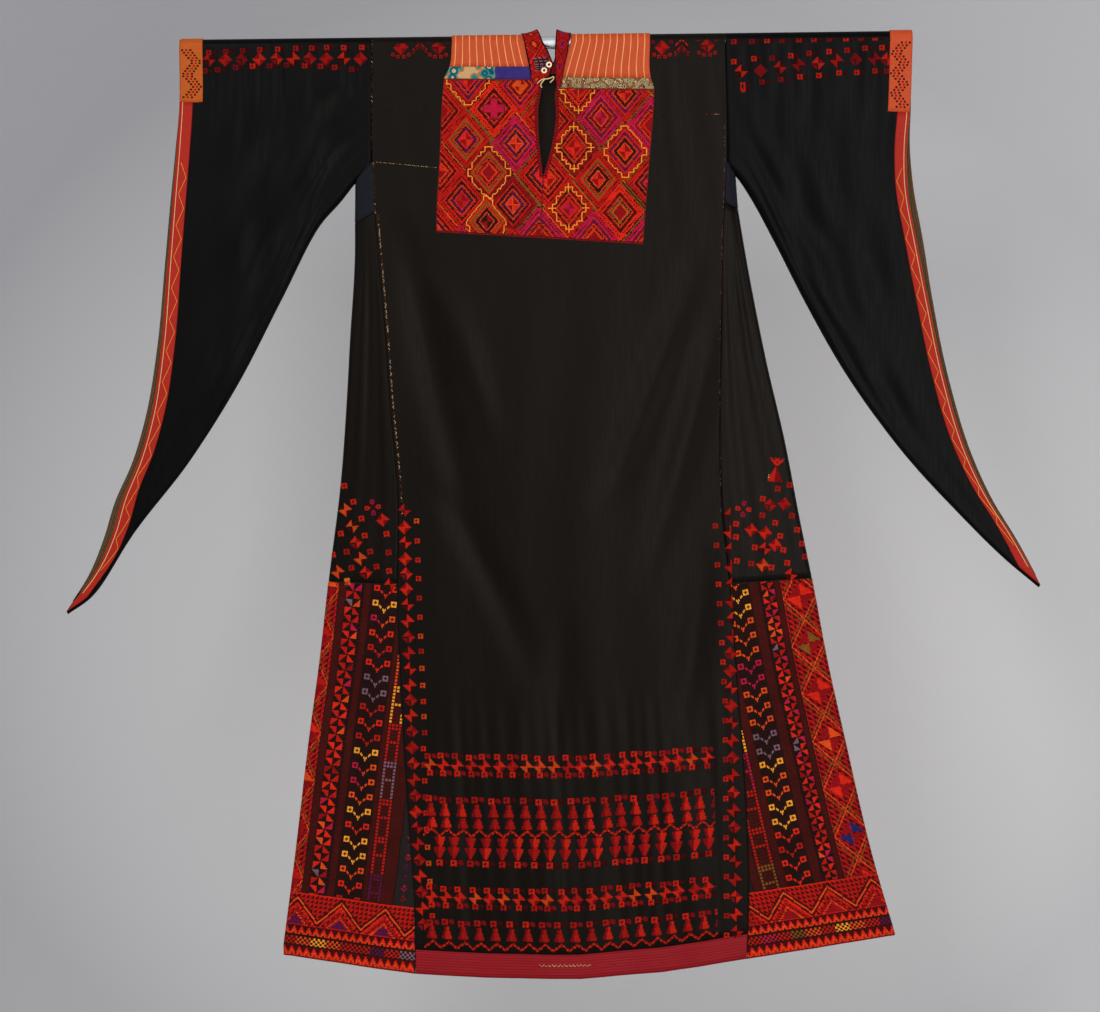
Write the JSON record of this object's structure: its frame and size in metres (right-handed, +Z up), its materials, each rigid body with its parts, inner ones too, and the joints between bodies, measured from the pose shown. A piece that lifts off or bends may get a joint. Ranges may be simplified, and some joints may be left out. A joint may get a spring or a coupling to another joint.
{
  "type": "embroidered robe on a hanging rod",
  "caption": "Long black robe with embroidered chest, side panels and pointed winged sleeves, hung flat on a round rod through both sleeves.",
  "frame": {"origin": "middle of the rod's axis under the neck, where the rod holds the robe up", "axes": "+X along the rod to the right as seen from the front, +Y from the robe's front to its back, +Z up"},
  "size_m": [1.456, 0.0747, 1.4193],
  "materials": {
    "rod_metal": "smooth round metal tube",
    "black_satin": "soft black satin with a low sheen",
    "navy_cotton": "plain navy cotton",
    "red_embroidery": "dense red, orange and purple cross stitch",
    "collar_embroidery": "red band with orange and pink stitches",
    "orange_stripe": "orange silk with pale stripes",
    "printed_cotton": "small floral print",
    "amber_silk": "amber silk with dark red stitches",
    "brick_silk": "brick red silk band with yellow stitching",
    "olive_stripe": "striped brown and olive cotton",
    "crimson_satin": "crimson satin with rows of stitching",
    "brown_cotton": "plain brown cotton",
    "button_shell": "small cream buttons"
  },
  "bodies": {
    "root": {"rod": "rod_metal", "front": "black_satin", "back": "black_satin", "front_shoulder_left": "black_satin", "front_shoulder_right": "black_satin", "back_shoulders": "black_satin", "side_left": "black_satin", "side_right": "black_satin", "sleeve_left": "black_satin", "sleeve_right": "black_satin", "gusset_left": "navy_cotton", "gusset_right": "navy_cotton", "side_panel_left": "red_embroidery", "side_panel_right": "red_embroidery", "chest_panel_left": "red_embroidery", "chest_panel_right": "red_embroidery", "yoke_left": "orange_stripe", "yoke_right": "orange_stripe", "yoke_strip_left": "printed_cotton", "yoke_strip_right": "printed_cotton", "collar_left": "collar_embroidery", "collar_right": "collar_embroidery", "button_upper": "button_shell", "button_lower": "button_shell", "cuff_patch_left": "amber_silk", "cuff_patch_right": "amber_silk", "cuff_strip_front_left": "brick_silk", "cuff_strip_front_right": "brick_silk", "cuff_strip_back_left": "brick_silk", "cuff_strip_back_right": "brick_silk", "cuff_facing_left": "olive_stripe", "cuff_facing_right": "olive_stripe", "hem_band": "crimson_satin", "back_hem_facing": "brown_cotton"}
  },
  "joints": []
}
